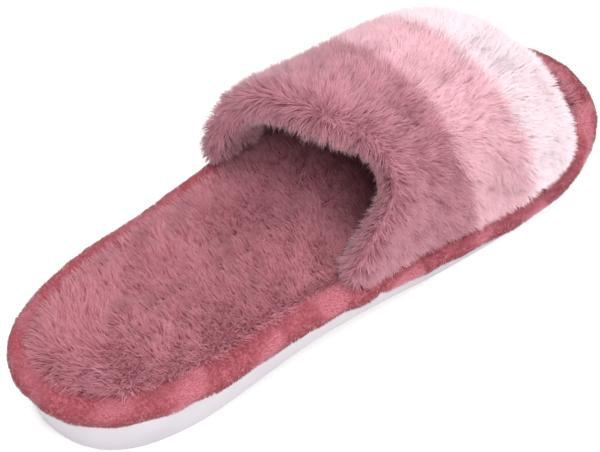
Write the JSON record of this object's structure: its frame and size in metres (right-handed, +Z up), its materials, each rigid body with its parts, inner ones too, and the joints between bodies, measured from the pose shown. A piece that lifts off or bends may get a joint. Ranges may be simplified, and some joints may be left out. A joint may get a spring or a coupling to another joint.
{
  "type": "house slipper",
  "caption": "Open-heeled, open-toed house slipper: long-pile band in three pink tones over a plush insole, plush-wrapped edge and moulded light outsole.",
  "frame": {"origin": "on the floor, in the middle of the slipper's overall length and width", "axes": "+Y to the toe, +X to the inner (big toe) side of a left foot, +Z up from the floor"},
  "size_m": [0.0988, 0.2556, 0.078],
  "materials": {
    "outsole": "smooth satin moulded foam rubber",
    "board": "non-woven fibre board",
    "foam": "open-cell sponge",
    "edge_plush": "short-pile plush, brushed both ways",
    "insole_plush": "dense faux-fur pile",
    "lining": "short plush",
    "mauve_fur": "long faux-fur pile",
    "pink_fur": "long faux-fur pile",
    "pale_fur": "long faux-fur pile",
    "thread": "twisted polyester thread"
  },
  "bodies": {
    "root": {"outsole": "outsole", "insole_board": "board", "footbed_foam": "foam", "edge_wrap": "edge_plush", "insole_cover": "insole_plush", "footbed_seam_thread": "thread", "upper_lining": "lining", "upper_foam": "foam", "rear_fur_band": "mauve_fur", "middle_fur_band": "pink_fur", "front_fur_band": "pale_fur", "rear_panel_seam_thread": "thread", "front_panel_seam_thread": "thread", "throat_seam_thread": "thread", "toe_seam_thread": "thread"}
  },
  "joints": []
}
